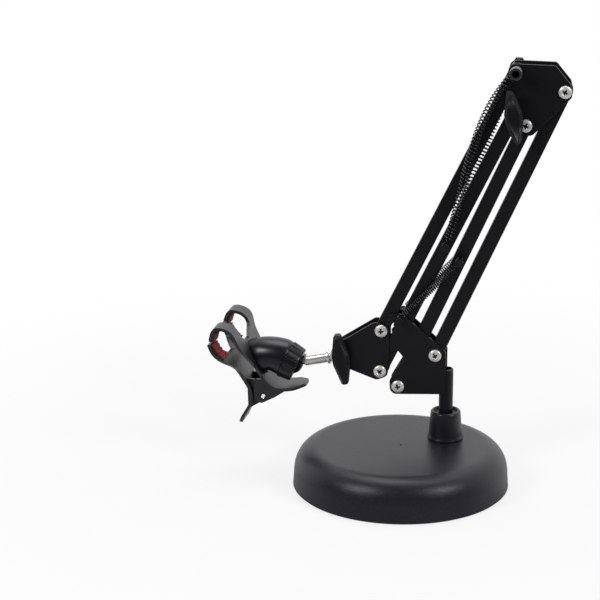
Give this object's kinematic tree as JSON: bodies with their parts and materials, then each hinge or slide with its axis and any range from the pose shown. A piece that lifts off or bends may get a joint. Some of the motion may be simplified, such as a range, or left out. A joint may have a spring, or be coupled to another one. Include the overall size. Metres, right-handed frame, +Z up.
{
  "type": "phone stand with folding spring arm",
  "caption": "Phone stand: a weighted round base with a swivelling post, a folding parallelogram spring arm of square tubes and a spring clip on a ball joint.",
  "frame": {"origin": "centre of the underside of the round base", "axes": "+Z up, the folded arm lies in a plane of constant Y, -X points to the clip's side and -Y to the side with the wing nuts"},
  "size_m": [0.2444, 0.149, 0.2976],
  "materials": {
    "base_paint": "fine textured charcoal paint",
    "foot_rubber": "matt",
    "black_plastic": "satin moulded",
    "black_paint": "satin black paint",
    "bright_steel": "polished",
    "spring_steel": "blackened",
    "rod_chrome": "mirror",
    "nylon": "matt",
    "gloss_black": "glossy",
    "clip_grey": "satin grey with black edges",
    "red_rubber": "matt"
  },
  "bodies": {
    "base": {"base_weight": "base_paint", "foot_pad": "foot_rubber", "post_socket": "black_plastic"},
    "swivel": {"post": "black_paint", "base_plate_near": "black_paint", "base_plate_far": "black_paint", "base_pivot_screws": "bright_steel", "base_pivot_nuts": "bright_steel", "lower_spring_near": "spring_steel", "lower_spring_far": "spring_steel"},
    "lower_lead": {"lower_tube_lead": "black_paint", "lower_spring_pin": "bright_steel"},
    "lower_follow": {"lower_tube_follow": "black_paint"},
    "elbow": {"elbow_plate_near": "black_paint", "elbow_plate_far": "black_paint", "elbow_pivot_screws": "bright_steel", "elbow_pivot_nuts": "bright_steel", "spring_cap_screw": "bright_steel", "spring_cap_nut": "bright_steel", "elbow_clamp_bolt": "bright_steel", "upper_spring_near": "spring_steel", "upper_spring_far": "spring_steel"},
    "elbow_wing": {"elbow_wing_nut": "black_plastic"},
    "upper_lead": {"upper_tube_lead": "black_paint"},
    "upper_follow": {"upper_tube_follow": "black_paint", "upper_spring_pin": "bright_steel"},
    "head": {"head_plate_near": "black_paint", "head_plate_far": "black_paint", "head_pivot_screws": "bright_steel", "head_pivot_nuts": "bright_steel", "head_clamp_bolt": "bright_steel"},
    "head_wing": {"head_wing_nut": "black_plastic"},
    "rod": {"head_rod": "rod_chrome"},
    "liner": {"ball_liner": "nylon"},
    "clip_upper": {"clip_half_a": "clip_grey", "ball_socket": "gloss_black", "clip_hinge_tube": "bright_steel", "clip_spring": "spring_steel", "jaw_pads_a": "red_rubber"},
    "clip_lower": {"clip_half_b": "clip_grey", "jaw_pads_b": "red_rubber"},
    "lock_ring": {"lock_ring": "gloss_black"}
  },
  "joints": [
    {"name": "post_swivel", "type": "hinge", "parent": "base", "child": "swivel", "pos_m": [0.0288, 0.0194, 0.029], "axis": [0, 0, 1], "continuous": true},
    {"name": "lower_fold", "type": "hinge", "parent": "swivel", "child": "lower_lead", "pos_m": [-0.0041, 0.0194, 0.0672], "axis": [0, -1, 0], "range_deg": [0, 58], "deforming": ["lower_spring_near", "lower_spring_far"]},
    {"name": "lower_follower", "type": "hinge", "parent": "swivel", "child": "lower_follow", "pos_m": [0.0214, 0.0194, 0.091], "axis": [0, -1, 0], "range_deg": [0, 58]},
    {"name": "elbow_level", "type": "hinge", "parent": "lower_lead", "child": "elbow", "pos_m": [0.07936, 0.0194, 0.25554], "axis": [0, -1, 0], "range_deg": [-58, 0]},
    {"name": "upper_fold", "type": "hinge", "parent": "elbow", "child": "upper_lead", "pos_m": [0.07256, 0.0194, 0.29294], "axis": [0, 1, 0], "range_deg": [0, 105], "deforming": ["upper_spring_near", "upper_spring_far"]},
    {"name": "upper_follower", "type": "hinge", "parent": "elbow", "child": "upper_follow", "pos_m": [0.07196, 0.0194, 0.26354], "axis": [0, 1, 0], "range_deg": [0, 105]},
    {"name": "head_level", "type": "hinge", "parent": "upper_lead", "child": "head", "pos_m": [-0.01613, 0.0194, 0.107], "axis": [0, 1, 0], "range_deg": [-105, 0]},
    {"name": "elbow_wing_turn", "type": "hinge", "parent": "elbow", "child": "elbow_wing", "pos_m": [0.07196, 0.0194, 0.26354], "axis": [0, 1, 0], "continuous": true},
    {"name": "head_wing_turn", "type": "hinge", "parent": "head", "child": "head_wing", "pos_m": [-0.04303, 0.0194, 0.0868], "axis": [0, 1, 0], "continuous": true},
    {"name": "rod_tilt", "type": "hinge", "parent": "head", "child": "rod", "pos_m": [-0.04303, 0.0194, 0.0868], "axis": [0, -1, 0], "range_deg": [-40, 20]},
    {"name": "clip_spin", "type": "hinge", "parent": "rod", "child": "liner", "pos_m": [-0.07903, 0.0194, 0.079], "axis": [0.9773, 0, 0.2118], "continuous": true},
    {"name": "clip_tilt", "type": "hinge", "parent": "liner", "child": "clip_upper", "pos_m": [-0.07903, 0.0194, 0.079], "axis": [-0.0785, -0.9969, 0], "range_deg": [0, 26]},
    {"name": "jaw_open", "type": "hinge", "parent": "clip_upper", "child": "clip_lower", "pos_m": [-0.09717, 0.02083, 0.0561], "axis": [-0.0785, -0.9969, 0], "range_deg": [0, 25], "stiffness_Nm_per_rad": 0.4, "springref_deg": -20.05, "deforming": ["clip_spring"]},
    {"name": "lock_ring_turn", "type": "hinge", "parent": "clip_upper", "child": "lock_ring", "pos_m": [-0.07903, 0.0194, 0.079], "axis": [0.8968, -0.0706, -0.4368], "range_deg": [-90, 90]}
  ],
  "couplings": [
    {"joint": "lower_follower", "follows": "lower_fold", "ratio": 1},
    {"joint": "elbow_level", "follows": "lower_fold", "ratio": -1},
    {"joint": "upper_follower", "follows": "upper_fold", "ratio": 1},
    {"joint": "head_level", "follows": "upper_fold", "ratio": -1}
  ]
}
